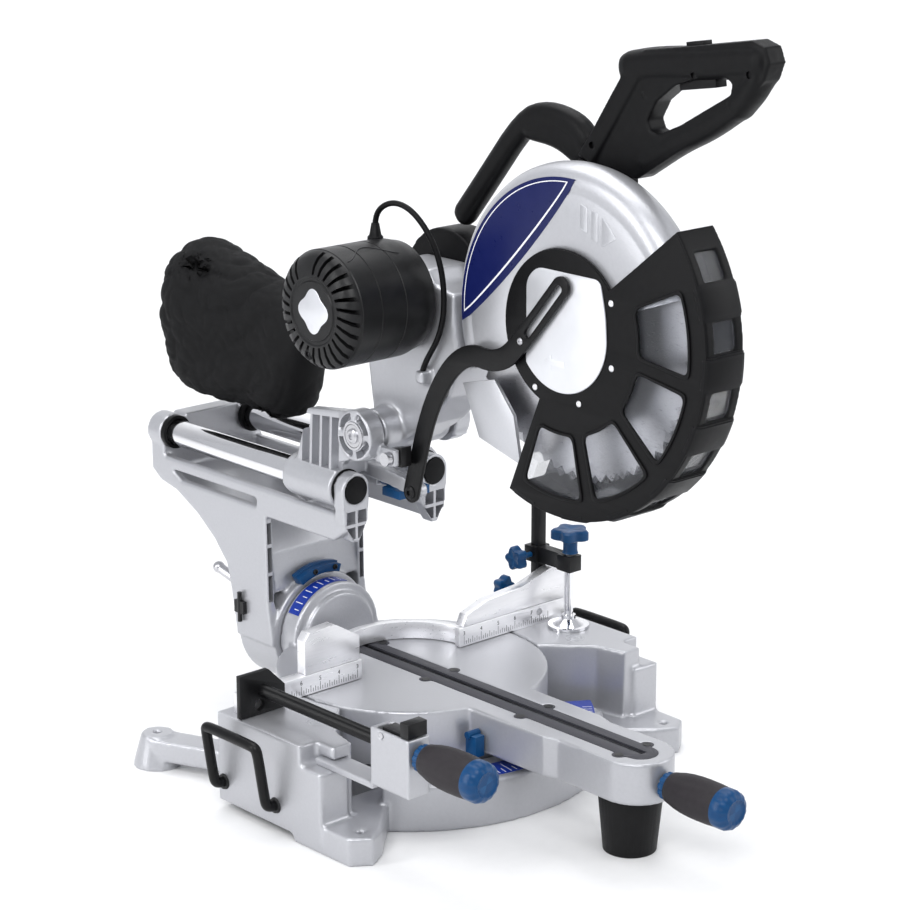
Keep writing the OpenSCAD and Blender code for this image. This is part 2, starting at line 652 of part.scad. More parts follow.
turntable_pivot_bolt();
turntable_casting();
kerf_insert();
insert_screws();
front_foot();
mitre_lock_rod();
mitre_grip();
mitre_grip_cap();
detent_lever();
column_casting();
slide_rails();
rail_caps();
bevel_pointer();
bevel_lock_lever();
carriage_casting();
sleeve_seals();
chop_pivot_shaft();
head_lock_housing();
head_lock_pin();
slide_lock_lever();
guard_link();
head_arm();
upper_guard();
belt_housing();
motor_housing();
motor_end_cap();
motor_stator();
motor_armature();
drive_belt();
motor_lead();
carry_handle();
main_handle_left();
main_handle_right();
trigger();
lock_off_button();
dust_chute();
dust_port();
dust_bag();
blade();
arbor_shaft();
lower_guard_frame();
lower_guard_windows();
lower_guard_plate();
clamp_body();
clamp_bar();
clamp_lever();
clamp_lever_pin();
clamp_grip();
clamp_grip_cap();
hold_down_post();
hold_down_arm();
hold_down_spindle();
hold_down_knob();
hold_down_arm_knob();
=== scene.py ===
"""Looks of a sliding compound mitre saw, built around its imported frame. Metres, +Z up."""
import json
import math
import bmesh
import bpy
from mathutils import Matrix, Vector, noise


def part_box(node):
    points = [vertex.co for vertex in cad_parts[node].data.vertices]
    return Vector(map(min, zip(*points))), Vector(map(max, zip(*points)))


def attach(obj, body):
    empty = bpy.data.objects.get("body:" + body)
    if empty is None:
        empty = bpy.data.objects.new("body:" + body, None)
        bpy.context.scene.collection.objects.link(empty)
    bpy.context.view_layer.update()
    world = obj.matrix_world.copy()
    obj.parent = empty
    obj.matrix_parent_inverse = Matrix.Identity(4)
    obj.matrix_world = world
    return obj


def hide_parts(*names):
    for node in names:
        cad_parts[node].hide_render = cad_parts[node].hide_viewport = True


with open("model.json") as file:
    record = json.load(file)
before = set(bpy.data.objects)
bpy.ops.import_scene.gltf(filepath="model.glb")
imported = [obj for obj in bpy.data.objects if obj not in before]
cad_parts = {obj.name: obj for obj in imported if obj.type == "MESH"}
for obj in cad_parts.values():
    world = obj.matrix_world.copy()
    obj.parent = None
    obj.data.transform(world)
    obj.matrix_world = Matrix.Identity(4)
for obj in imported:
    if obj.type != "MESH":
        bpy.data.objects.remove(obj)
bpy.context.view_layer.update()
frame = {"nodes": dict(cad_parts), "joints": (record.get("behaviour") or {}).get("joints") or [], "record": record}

NODES = frame["nodes"]
BODY = {n: b for b, names in frame["record"]["behaviour"]["bodies"].items() for n in names}
SLOT = {s["node"]: s["material_slot"] for s in frame["record"]["subparts"]}
JOINT = {j["name"]: j for j in frame["joints"]}

MM = 0.001
PIVOT = Vector(JOINT["chop"]["pos_m"])
ARBOR = Vector(JOINT["blade_spin"]["pos_m"])
MOTOR = Vector(JOINT["motor_spin"]["pos_m"])
BEVEL = Vector(JOINT["bevel"]["pos_m"])

CAMERA_AT = (-1.8252, -2.0755, 1.1271)
CAMERA_LENS = 108.3
CAMERA_DOWN, CAMERA_TURN, STAGE_TURN = 15.93, -42.29, -42.2
BAG_VOXEL = 0.0055
SHARP_EDGE = 34
SIDES = ((-1, "left"), (1, "right"))

WINDOWS, WINDOW_STEP = 4, 34
RIM_BLOCKS, RIM_STEP = 7, 20.5
RIVETS = ((76, 150), (72, 200), (72, 250), (72, 300))
FINS, MISSING_FINS = 28, (5, 6)

LINK_PIVOT = Vector((0, -0.037, 0.312))
LINK_SLOT = Vector((0, -0.2, 0.502))
LEAD_EXIT = Vector((-0.05, -0.004, 0))
MITRE_GRIP_AT = Vector((0, -0.376, 0.082))
CLAMP_GRIP_AT = Vector((-0.211, -0.254, 0.132))
HANDLE_MIDDLE, HANDLE_SLIMMING = 50, 0.78
SIDE_KNOB_Y, SIDE_KNOB_Z = 0.021, 0.181
KNOB_HEIGHT = 12 * MM


def add_to_scene(item):
    bpy.context.scene.collection.objects.link(item)


# ---- camera, lights, floor -------------------------------------------------------------------
def make_camera():
    data = bpy.data.cameras.new("camera")
    data.lens = CAMERA_LENS
    data.sensor_width = 36
    cam = bpy.data.objects.new("camera", data)
    cam.location = CAMERA_AT
    cam.rotation_euler = (math.radians(90 - CAMERA_DOWN), 0, math.radians(CAMERA_TURN))
    add_to_scene(cam)
    bpy.context.scene.camera = cam


def area_light(name, place, size, power, aim=(0, 0, 0.35)):
    data = bpy.data.lights.new(name, "AREA")
    data.shape = "RECTANGLE"
    data.size, data.size_y = size
    data.energy = power
    lamp = bpy.data.objects.new(name, data)
    lamp.location = place
    lamp.rotation_euler = (Vector(aim) - Vector(place)).to_track_quat("-Z", "Y").to_euler()
    add_to_scene(lamp)


def make_stage():
    """A floor that curves up into a back wall, four soft lights and a pale sky."""
    mesh = bpy.data.meshes.new("floor")
    far, back, rise, top, steps = 6.0, 2.6, 1.2, 3.5, 12
    profile = [(-far, 0.0), (back - rise, 0.0)]
    for i in range(1, steps + 1):
        a = math.pi / 2 * i / steps
        profile.append((back - rise + rise * math.sin(a), rise - rise * math.cos(a)))
    profile.append((back, top))
    turn = Matrix.Rotation(math.radians(STAGE_TURN), 4, "Z")
    points = [turn @ Vector((x, y, z)) for x in (-far, far) for y, z in profile]
    n = len(profile)
    mesh.from_pydata(points, [], [(i, n + i, n + i + 1, i + 1) for i in range(n - 1)])
    for p in mesh.polygons:
        p.use_smooth = True
    floor = bpy.data.objects.new("floor", mesh)
    add_to_scene(floor)
    mesh.materials.append(paint("floor_white", (0.86, 0.86, 0.86), 0.55, speck=0.01, bump=0.0))
    area_light("key", (-1.9, -1.5, 2.3), (1.7, 1.3), 44)
    area_light("fill", (1.9, -1.9, 1.5), (1.8, 1.8), 22)
    area_light("left_strip", (-2.3, 0.7, 1.1), (0.6, 1.7), 22)
    area_light("top", (0.2, 0.4, 2.6), (2.2, 2.2), 42)
    world = bpy.data.worlds.new("studio")
    world.use_nodes = True
    sky = world.node_tree.nodes["Background"].inputs
    sky["Color"].default_value = (0.93, 0.95, 1.0, 1)
    sky["Strength"].default_value = 0.62
    bpy.context.scene.world = world
    bpy.context.scene.view_settings.view_transform = "Standard"


# ---- materials -------------------------------------------------------------------------------
def paint(name, base, rough, metal=0.0, speck=0.06, scale=90.0, bump=0.12, grain=900.0,
          stretch=(1, 1, 1), coat=0.0, wear=None, rough_swing=0.08, spec=0.5):
    """Finish with colour mottling, uneven roughness, a fine surface grain and worn edges."""
    mat = bpy.data.materials.new(name)
    mat.use_nodes = True
    tree = mat.node_tree
    shader = tree.nodes["Principled BSDF"]
    link = tree.links.new

    def add(kind, **values):
        node = tree.nodes.new(kind)
        for key, value in values.items():
            setattr(node, key, value)
        return node

    where = add("ShaderNodeTexCoord")
    spread = add("ShaderNodeMapping")
    spread.inputs["Scale"].default_value = stretch
    link(where.outputs["Object"], spread.inputs["Vector"])
    mottle = add("ShaderNodeTexNoise")
    mottle.inputs["Scale"].default_value = scale
    mottle.inputs["Detail"].default_value = 5
    link(spread.outputs["Vector"], mottle.inputs["Vector"])
    tone = add("ShaderNodeValToRGB")
    tone.color_ramp.elements[0].position = 0.3
    tone.color_ramp.elements[1].position = 0.7
    tone.color_ramp.elements[0].color = (*[c * (1 - speck) for c in base], 1)
    tone.color_ramp.elements[1].color = (*[min(1, c * (1 + speck)) for c in base], 1)
    link(mottle.outputs["Fac"], tone.inputs["Fac"])
    colour = tone.outputs["Color"]
    if wear:
        edge = add("ShaderNodeNewGeometry")
        mask = add("ShaderNodeValToRGB")
        mask.color_ramp.elements[0].position = 0.53
        mask.color_ramp.elements[1].position = 0.62
        link(edge.outputs["Pointiness"], mask.inputs["Fac"])
        worn = add("ShaderNodeMix", data_type="RGBA")
        worn.inputs["B"].default_value = (*wear, 1)
        link(mask.outputs["Color"], worn.inputs["Factor"])
        link(colour, worn.inputs["A"])
        colour = worn.outputs["Result"]
    link(colour, shader.inputs["Base Color"])
    sheen = add("ShaderNodeMapRange")
    sheen.inputs["To Min"].default_value = max(0.02, rough - rough_swing)
    sheen.inputs["To Max"].default_value = min(1.0, rough + rough_swing)
    link(mottle.outputs["Fac"], sheen.inputs["Value"])
    link(sheen.outputs["Result"], shader.inputs["Roughness"])
    shader.inputs["Metallic"].default_value = metal
    shader.inputs["Coat Weight"].default_value = coat
    shader.inputs["Specular IOR Level"].default_value = spec
    if bump:
        fine = add("ShaderNodeTexNoise")
        fine.inputs["Scale"].default_value = grain
        fine.inputs["Detail"].default_value = 3
        link(spread.outputs["Vector"], fine.inputs["Vector"])
        relief = add("ShaderNodeBump")
        relief.inputs["Strength"].default_value = bump
        relief.inputs["Distance"].default_value = 0.0006
        link(fine.outputs["Fac"], relief.inputs["Height"])
        link(relief.outputs["Normal"], shader.inputs["Normal"])
    return mat


def clear_plastic(name):
    mat = paint(name, (0.5, 0.52, 0.58), 0.06, speck=0.02, bump=0.04, grain=60, rough_swing=0.03)
    shader = mat.node_tree.nodes["Principled BSDF"]
    shader.inputs["Transmission Weight"].default_value = 0.9
    shader.inputs["IOR"].default_value = 1.3
    shader.inputs["Alpha"].default_value = 0.32
    return mat


def make_materials():
    silver = (0.47, 0.475, 0.5)
    grain = dict(bump=0.22, grain=520)
    return {
        "cast_silver": paint("cast_silver", silver, 0.37, 0.62, 0.025, 300, coat=0.1,
                             wear=(0.6, 0.61, 0.64), **grain),
        "machined": paint("machined", (0.84, 0.84, 0.86), 0.3, 0.75, 0.03, 30, bump=0.1,
                          grain=260, stretch=(1, 14, 14)),
        "insert_dark": paint("insert_dark", (0.045, 0.045, 0.055), 0.5, 0, 0.12, 120, spec=0.3,
                             **grain),
        "black_plastic": paint("black_plastic", (0.0035, 0.0035, 0.004), 0.4, 0, 0.2, 110,
                               bump=0.25, grain=1500, wear=(0.01, 0.01, 0.011), spec=0.13),
        "black_metal": paint("black_metal", (0.0035, 0.0035, 0.004), 0.33, 0, 0.2, 80,
                             bump=0.15, grain=700, wear=(0.02, 0.02, 0.021), spec=0.2),
        "grip_rubber": paint("grip_rubber", (0.024, 0.021, 0.024), 0.55, 0, 0.14, 150,
                             bump=0.35, grain=1800, spec=0.22),
        "foot_rubber": paint("foot_rubber", (0.006, 0.006, 0.0065), 0.5, 0, 0.2, 150,
                             bump=0.3, grain=1300, spec=0.18),
        "blue_plastic": paint("blue_plastic", (0.002, 0.045, 0.14), 0.33, 0, 0.1, 130,
                              bump=0.12, grain=900, wear=(0.006, 0.07, 0.19), spec=0.25),
        "chrome": paint("chrome", (0.82, 0.82, 0.84), 0.09, 1.0, 0.02, 60, bump=0.02,
                        grain=400, rough_swing=0.04),
        "steel": paint("steel", (0.56, 0.56, 0.58), 0.3, 1.0, 0.06, 160, bump=0.08,
                       grain=500, stretch=(1, 1, 8)),
        "clear_guard": clear_plastic("clear_guard"),
        "bag_fabric": paint("bag_fabric", (0.004, 0.004, 0.0045), 0.75, 0, 0.35, 160,
                            bump=0.9, grain=1500, spec=0.2),
        "copper": paint("copper", (0.6, 0.27, 0.12), 0.35, 0.9, 0.1, 200),
        "label_blue": paint("label_blue", (0.004, 0.008, 0.07), 0.3, 0, 0.03, 90, bump=0.02,
                            spec=0.25),
        "print_black": paint("print_black", (0.02, 0.02, 0.022), 0.5, bump=0.0),
        "print_white": paint("print_white", (0.8, 0.8, 0.82), 0.4, bump=0.0),
        "cover_satin": paint("cover_satin", (0.7, 0.71, 0.74), 0.33, 0.65, 0.03, 40, bump=0.06,
                             grain=300, coat=0.1),
        "motor_black": paint("motor_black", (0.009, 0.009, 0.0095), 0.36, 0, 0.15, 90,
                             bump=0.2, grain=1300, spec=0.26),
        "scale_blue": paint("scale_blue", (0.008, 0.035, 0.3), 0.3, 0, 0.05, 90, bump=0.03),
    }


# ---- mesh tools ------------------------------------------------------------------------------
def place(name, mesh, finish, body, slot=None, smooth=35):
    """A finished piece: its material, shading and body. The slot argument is not used."""
    piece = bpy.data.objects.new(name, mesh)
    add_to_scene(piece)
    mesh.materials.clear()
    mesh.materials.append(LOOK[finish])
    if smooth:
        mesh.shade_smooth()
        mesh.set_sharp_from_angle(angle=math.radians(smooth))
    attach(piece, body)
    return piece


def apply_modifiers(piece):
    graph = bpy.context.evaluated_depsgraph_get()
    mesh = bpy.data.meshes.new_from_object(piece.evaluated_get(graph))
    old = piece.data
    piece.modifiers.clear()
    piece.data = mesh
    bpy.data.meshes.remove(old)
    return piece


def melt(piece, size, passes):
    """Rebuilds a shape from small cells and rounds its edges."""
    remesh = piece.modifiers.new("remesh", "REMESH")
    remesh.mode = "VOXEL"
    remesh.voxel_size = size
    soften = piece.modifiers.new("soften", "SMOOTH")
    soften.factor = 0.5
    soften.iterations = passes
    apply_modifiers(piece)


def cell_size(voxel):
    return voxel * MM * 1


def mesh_of(curve):
    """The mesh of a curve, which is then thrown away."""
    holder = bpy.data.objects.new(curve.name, curve)
    add_to_scene(holder)
    graph = bpy.context.evaluated_depsgraph_get()
    mesh = bpy.data.meshes.new_from_object(holder.evaluated_get(graph))
    bpy.data.objects.remove(holder)
    bpy.data.curves.remove(curve)
    return mesh


def copy_of(node):
    piece = bpy.data.objects.new(node + "_skin", NODES[node].data.copy())
    add_to_scene(piece)
    return piece


def finish_skin(piece, node, smooth):
    mesh = piece.data
    mesh.materials.clear()
    mesh.materials.append(LOOK[SLOT[node]])
    mesh.shade_smooth()
    if smooth:
        mesh.set_sharp_from_angle(angle=math.radians(smooth))
    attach(piece, BODY[node])
    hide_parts(node)
    return piece


def cast(node, voxel=2.0, passes=5, smooth=50, cut=()):
    """A cast or moulded skin: the CAD shape with its edges melted into fillets, then pockets."""
    piece = copy_of(node)
    melt(piece, cell_size(voxel), passes)
    if cut:
        carve(piece, cut, "MANIFOLD")
    return finish_skin(piece, node, smooth)


def crisp(node, width=0.6, segments=2, smooth=32):
    """A machined or pressed piece: flat faces kept, edges broken by a small bevel."""
    piece = copy_of(node)
    bm = bmesh.new()
    bm.from_mesh(piece.data)
    bmesh.ops.remove_doubles(bm, verts=bm.verts, dist=2e-5)
    bmesh.ops.dissolve_limit(bm, angle_limit=math.radians(1.5), verts=bm.verts, edges=bm.edges)
    bm.to_mesh(piece.data)
    bm.free()
    bevel = piece.modifiers.new("bevel", "BEVEL")
    bevel.width = width * MM
    bevel.segments = segments
    bevel.limit_method = "ANGLE"
    bevel.angle_limit = math.radians(SHARP_EDGE)
    bevel.use_clamp_overlap = True
    return finish_skin(apply_modifiers(piece), node, smooth)


def in_yz(u, v, w):
    return Vector((w, u, v)) * MM


def in_xz(u, v, w):
    return Vector((u, w, v)) * MM


def in_xy(u, v, w):
    return Vector((u, v, w)) * MM


def ring(radius, a0=0, a1=360, steps=48, centre=(0, 0)):
    """Points of an arc in millimetres; a full turn leaves out the repeated end."""
    last = steps if a1 - a0 < 360 else steps - 1
    turn = [math.radians(a0 + (a1 - a0) * i / steps) for i in range(last + 1)]
    return [(centre[0] + radius * math.cos(a), centre[1] + radius * math.sin(a)) for a in turn]


def soft_corners(points, radius, steps=5):
    """The same outline with each corner rounded."""
    out = []
    for i, p in enumerate(points):
        here = Vector(p)
        for far in (points[i - 1], points[(i + 1) % len(points)]):
            reach = Vector(far) - here
            out.append(here + reach.normalized() * min(radius, reach.length * 0.48))
    round_out = []
    for i, p in enumerate(points):
        a, b, c = out[2 * i], Vector(p), out[2 * i + 1]
        for k in range(steps + 1):
            t = k / steps
            round_out.append(tuple(a * (1 - t) ** 2 + b * 2 * t * (1 - t) + c * t * t))
    return round_out


def clean(bm):
    bmesh.ops.remove_doubles(bm, verts=bm.verts, dist=1e-6)
    bmesh.ops.recalc_face_normals(bm, faces=bm.faces)
    mesh = bpy.data.meshes.new("shape")
    bm.to_mesh(mesh)
    bm.free()
    return mesh


def prism(outline, plane, lo, hi):
    """A solid with flat ends over one outline."""
    bm = bmesh.new()
    low = [bm.verts.new(plane(u, v, lo)) for u, v in outline]
    high = [bm.verts.new(plane(u, v, hi)) for u, v in outline]
    bm.faces.new(low)
    bm.faces.new(high)
    for i in range(len(outline)):
        k = (i + 1) % len(outline)
        bm.faces.new((low[i], low[k], high[k], high[i]))
    return clean(bm)


def block(x0, x1, y0, y1, z0, z1):
    return prism([(x0, y0), (x1, y0), (x1, y1), (x0, y1)], in_xy, z0, z1)


def panel(outlines, plane, lo, hi, bevel=0.5):
    """A plate with holes and rounded edges; inner outlines are the holes."""
    curve = bpy.data.curves.new("outline", "CURVE")
    curve.dimensions = "2D"
    curve.fill_mode = "BOTH"
    curve.extrude = ((hi - lo) / 2 - bevel) * MM
    curve.bevel_depth = bevel * MM
    curve.bevel_resolution = 2
    curve.offset = -bevel * MM
    for points in outlines:
        spline = curve.splines.new("POLY")
        spline.points.add(len(points) - 1)
        for target, (u, v) in zip(spline.points, points):
            target.co = (u * MM, v * MM, 0, 1)
        spline.use_cyclic_u = True
    mesh = mesh_of(curve)
    bm = bmesh.new()
    bm.from_mesh(mesh)
    bpy.data.meshes.remove(mesh)
    for v in bm.verts:
        u, w, t = v.co / MM
        v.co = plane(u, w, t + (lo + hi) / 2)
    return clean(bm)


def about_x(centre):
    return lambda w, r, a: Vector((w * MM, centre.y + r * MM * math.cos(a),
                                   centre.z + r * MM * math.sin(a)))


def about_y(centre):
    """Lengths run towards the operator, along -Y."""
    return lambda w, r, a: centre + Vector((r * math.cos(a), -w, r * math.sin(a))) * MM


def about_z(centre):
    return lambda w, r, a: centre + Vector((r * math.cos(a), r * math.sin(a), w)) * MM


def lathe(profile, to, a0=0, a1=360, steps=64, swell=None):
    """A closed profile of (length, radius) turned about an axis."""
    bm = bmesh.new()
    whole = a1 - a0 >= 360
    rings = []
    for i in range(steps if whole else steps + 1):
        a = math.radians(a0 + (a1 - a0) * i / steps)
        rings.append([bm.verts.new(to(w, r * (swell(w, a) if swell else 1), a))
                      for w, r in profile])
    n = len(profile)
    for i in range(steps):
        here, after = rings[i], rings[(i + 1) % len(rings)]
        for k in range(n):
            m = (k + 1) % n
            bm.faces.new((here[k], here[m], after[m], after[k]))
    if not whole:
        bm.faces.new(rings[0])
        bm.faces.new(rings[-1])
    bmesh.ops.dissolve_degenerate(bm, dist=1e-7, edges=bm.edges)
    return clean(bm)


def join(meshes):
    bm = bmesh.new()
    for mesh in meshes:
        bm.from_mesh(mesh)
        bpy.data.meshes.remove(mesh)
    mesh = bpy.data.meshes.new("shape")
    bm.to_mesh(mesh)
    bm.free()
    return mesh


def carve(piece, cutters, solver="EXACT"):
    """Cuts solids out of a piece."""
    tool = bpy.data.objects.new("tool", join(cutters))
    add_to_scene(tool)
    cut = piece.modifiers.new("cut", "BOOLEAN")
    cut.operation = "DIFFERENCE"
    cut.solver = solver
    cut.object = tool
    apply_modifiers(piece)
    bpy.data.objects.remove(tool)


def tube(points, radius, closed=False, sides=4):
    """A round bar along points in metres."""
    curve = bpy.data.curves.new("bar", "CURVE")
    curve.dimensions = "3D"
    curve.bevel_depth = radius * MM
    curve.bevel_resolution = sides
    curve.use_fill_caps = True
    spline = curve.splines.new("NURBS")
    spline.points.add(len(points) - 1)
    for target, p in zip(spline.points, points):
        target.co = (*p, 1)
    spline.use_endpoint_u = not closed
    spline.use_cyclic_u = closed
    spline.order_u = 4
    spline.resolution_u = 8
    return mesh_of(curve)


def screw(name, radius, to, body, finish="black_metal", height=1.6):
    """A domed screw head with a socket."""
    profile = [(0, 0.01), (0, radius), (height * 0.5, radius), (height, radius * 0.72),
               (height, radius * 0.42), (height * 0.35, radius * 0.36), (height * 0.35, 0.01)]
    place(name, lathe(profile, to, steps=24), finish, body, smooth=30)


def number(text, size, plane, u, v, w):
    """A scale figure as a thin mesh centred on a point."""
    curve = bpy.data.curves.new("figure", "FONT")
    curve.body = text
    curve.size = size * MM
    curve.align_x = "CENTER"
    curve.extrude = 0.05 * MM
    mesh = mesh_of(curve)
    for vert in mesh.vertices:
        a, b, c = vert.co / MM
        vert.co = plane(u + a, v + b, w + c)
    return mesh


# ---- lower and upper guard -------------------------------------------------------------------
def at_arbor(points):
    return [(u + ARBOR.y / MM, v + ARBOR.z / MM) for u, v in points]


def polar(radius, angle):
    return radius * math.cos(math.radians(angle)), radius * math.sin(math.radians(angle))


def window(i, grow=0.0):
    """Outline of one clear window in the side of the lower guard."""
    a0, a1 = 158 + WINDOW_STEP * i - grow / 2.4, 185 + WINDOW_STEP * i + grow / 2.4
    r0, r1 = 104 - grow, 166 + grow
    steps = 5
    outer = [polar(r1, a0 + (a1 - a0) * k / steps) for k in range(steps + 1)]
    inner = [polar(r0, a1 - 1 - (a1 - a0 - 2) * k / 3) for k in range(4)]
    return at_arbor(soft_corners(outer + inner, 8))


def make_lower_guard():
    reach, start, end = 187.6, 141.5, 292.5
    hub = 79
    side = at_arbor(ring(reach, start, end, 60) + ring(hub, end, start + 360, 40))
    holes = [window(i) for i in range(WINDOWS)] + [at_arbor(ring(40, 0, 360, 48))]
    cast("lower_guard_frame", 1.5, 3)
    place("lower_guard_side", panel([side] + holes, in_yz, -26.2, -24.9, 0.5),
          "black_plastic", "lower_guard", smooth=40)
    rims = [panel([window(i, 3), window(i)], in_yz, -27.7, -26.1, 0.6)
            for i in range(WINDOWS)]
    place("lower_guard_window_rims", join(rims), "black_plastic", "lower_guard", smooth=50)
    ribs = []
    for i in range(RIM_BLOCKS):
        a0, a1 = 157.2 + RIM_STEP * i, min(168.2 + RIM_STEP * i, end - 0.4)
        for inset, lift in ((0, 0), (0.35, 0.9), (1.0, 1.6)):
            profile = [(-25, 180), (-25.3 - lift, 184), (-24 - lift, 187.4 + lift * 0.5),
                       (-20, 188.6 + lift), (20, 188.6 + lift), (24 + lift, 187.4 + lift * 0.5),
                       (25.3 + lift, 184), (25, 180)]
            ribs.append(lathe(profile, about_x(ARBOR), a0 + inset, a1 - inset, 10))
    place("lower_guard_rim_blocks", join(ribs), "black_plastic", "lower_guard", smooth=40)
    plate = at_arbor(ring(61.5, -39, -180, 40) + soft_corners(
        [(-61.5, 0), (-60, 24), (-52, 58), (34, 58), (48, 44), (48, -38)], 9)[6:30])
    cover = place("lower_guard_cover", panel([plate], in_yz, -28, -25.9, 1.0), "cover_satin",
                  "lower_guard", "steel", 40)
    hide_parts("lower_guard_plate")
    for i, (r, a) in enumerate(RIVETS):
        y, z = at_arbor([polar(r, a)])[0]
        spot = about_x(Vector((0, y * MM, z * MM)))
        out = lambda w, r, t, spot=spot: spot(-26.1 - w, r, t)
        screw(f"lower_guard_rivet_{i}", 3.2, out, "lower_guard", "machined", 1.4)
    arrow = [(-6, -36), (12, -36), (12, -41), (22, -33), (12, -25), (12, -30), (-6, -30)]
    place("lower_guard_turn_mark", panel([at_arbor(arrow)], in_yz, -28.25, -27.9, 0.1),
          "cover_satin", "lower_guard", "steel", 40)


def label_outline(inset):
    """Crescent between the guard's outer curve and a shallow inner curve."""
    low, high, reach = -6 + inset, 94 - inset, 148 - inset
    outer = ring(reach, low, high, 40)
    top, bottom = Vector(polar(reach, high)), Vector(polar(reach, low))
    inwards = -(top + bottom).normalized()
    inner = []
    for k in range(1, 20):
        bow = (9 - inset) * math.sin(math.pi * k / 20) ** 0.6
        inner.append(tuple(top.lerp(bottom, k / 20) + inwards * bow))
    return at_arbor(outer + inner)


def make_upper_guard():
    profile = [(-17, 64), (-20.4, 64), (-21, 65), (-21, 130), (-20.2, 133), (-20.2, 136),
               (-21, 139), (-20.4, 146), (-18, 152), (-13, 157.5), (-6, 160.4), (0, 161),
               (6, 160.4), (15, 157.5), (19.5, 152), (21, 146), (21, 64), (17, 64),
               (17, 148), (10, 155), (-8, 155), (-17, 148)]
    shell = place("upper_guard_shell", lathe(profile, about_x(ARBOR), -25, 160, 96),
                  "cast_silver", "head", smooth=38)
    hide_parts("upper_guard")
    wall = [ring(63.9, 0, 360, 64), ring(16, 0, 360, 32)]
    place("upper_guard_inner_wall", panel([at_arbor(p) for p in wall], in_yz, 17.2, 20.8, 0.5),
          "cast_silver", "head", smooth=40)
    crescent, line_out, line_in = [label_outline(inset) for inset in (0, 3.6, 4.5)]
    place("guard_label", panel([crescent], in_yz, -21.18, -20.5, 0.1), "label_blue", "head")
    place("guard_label_line", panel([line_out, line_in], in_yz, -21.28, -21.12, 0.02),
          "print_white", "head", "label_blue")
    marks = [[(-28, 122), (-18, 126), (-18, 102), (-28, 98)],
             [(-42, 119), (-33, 122), (-33, 94), (-42, 91)],
             [(-50, 116), (-47, 116), (-47, 88), (-66, 98)]]
    raised = [panel([at_arbor(soft_corners(m, 2))], in_yz, -21.35, -20.3, 0.3) for m in marks]
    place("guard_chevrons", join(raised), "cast_silver", "head")


# ---- motor -----------------------------------------------------------------------------------
def make_motor():
    profile = [(-127.9, 0.01), (-127.9, 60.2), (-127, 61), (-104, 61), (-103.4, 60.2),
               (-102.4, 60.2), (-101.8, 61), (-72, 61), (-71.4, 60.3), (-70.4, 60.3),
               (-69.8, 61), (-46, 61), (-36, 58.5), (-29.2, 57), (-29.2, 0.01)]
    can = place("motor_can", lathe(profile, about_x(MOTOR), steps=96), "motor_black", "head",
                "black_plastic", 34)
    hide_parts("motor_housing")
    seam = [Vector((x, MOTOR.y / MM + 61.3 * math.cos(a), MOTOR.z / MM + 61.3 * math.sin(a))) * MM
            for x, a in [(-140 + 6 * i, math.radians(112 + 9 * math.sin(i * 0.55)))
                         for i in range(3, 15)]]
    place("motor_seam", tube(seam, 0.5), "print_black", "head", "black_plastic")
    cap = [(-141.9, 0.01), (-141.9, 30), (-140.6, 31), (-140.6, 34), (-141.9, 35.5),
           (-141, 46), (-137.5, 54.5), (-132, 59.2), (-128.1, 60.2), (-128.1, 55),
           (-133, 52), (-136.5, 44), (-137, 0.01)]
    shell = bpy.data.objects.new("motor_cap", lathe(cap, about_x(MOTOR), steps=112))
    add_to_scene(shell)
    slots = []
    for i in range(FINS):
        if i in MISSING_FINS:
            continue
        base = 360 / FINS * i
        line = [(polar(r, base + 5 * (r - 37) / 20), r) for r in (37, 43, 50, 62)]
        left, right = [], []
        for (u, v), r in line:
            n = math.radians(base + 90)
            half = 1.5 + 1.1 * (r - 37) / 25
            left.append((u + half * math.cos(n), v + half * math.sin(n)))
            right.append((u - half * math.cos(n), v - half * math.sin(n)))
        loop = [(u + MOTOR.y / MM, v + MOTOR.z / MM) for u, v in left + right[::-1]]
        slots.append(prism(loop, in_yz, -146, -130.5))
    carve(shell, slots)
    mesh = shell.data
    bpy.data.objects.remove(shell)
    end = place("motor_cap", mesh, "motor_black", "head", "black_plastic", 32)
    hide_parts("motor_end_cap")
    petals = [(MOTOR.y / MM + r * math.cos(t), MOTOR.z / MM + r * math.sin(t)) for t, r in
              [(math.radians(5 * i), 21 + 2.6 * math.cos(math.radians(20 * i)))
               for i in range(72)]]
    place("motor_badge", panel([petals], in_yz, -142.0, -140.2, 0.8), "cover_satin", "head",
          "steel", 50)
    brush = Vector((0, (MOTOR.y / MM + polar(47, 283)[0]) * MM,
                    (MOTOR.z / MM + polar(47, 283)[1]) * MM))
    spot = about_x(brush)
    screw("motor_brush_cap", 6.2, lambda w, r, t: spot(-138.6 - w, r, t), "head",
          "black_plastic", 2.6)


# ---- handles and link ------------------------------------------------------------------------
def rounded_line(points, passes=3):
    """An open line with its bends rounded off."""
    for _ in range(passes):
        out = [points[0]]
        for a, b in zip(points, points[1:]):
            out += [(a[0] * 0.75 + b[0] * 0.25, a[1] * 0.75 + b[1] * 0.25),
                    (a[0] * 0.25 + b[0] * 0.75, a[1] * 0.25 + b[1] * 0.75)]
        points = out + [points[-1]]
    return points


def ribbon(points, width):
    """Outline of a strip of one width with round ends along an open line."""
    left, right = [], []
    for i, p in enumerate(points):
        a, b = Vector(points[max(0, i - 1)]), Vector(points[min(len(points) - 1, i + 1)])
        side = (b - a).normalized().orthogonal() * width / 2
        left.append(tuple(Vector(p) + side))
        right.append(tuple(Vector(p) - side))
    start = Vector(points[0]) - Vector(points[1])
    finish = Vector(points[-1]) - Vector(points[-2])
    caps = []
    for centre, way in ((points[-1], finish), (points[0], start)):
        a = math.degrees(math.atan2(way.y, way.x))
        caps.append(ring(width / 2, a + 80, a - 80, 10, centre))
    return left + caps[0] + right[::-1] + caps[1]


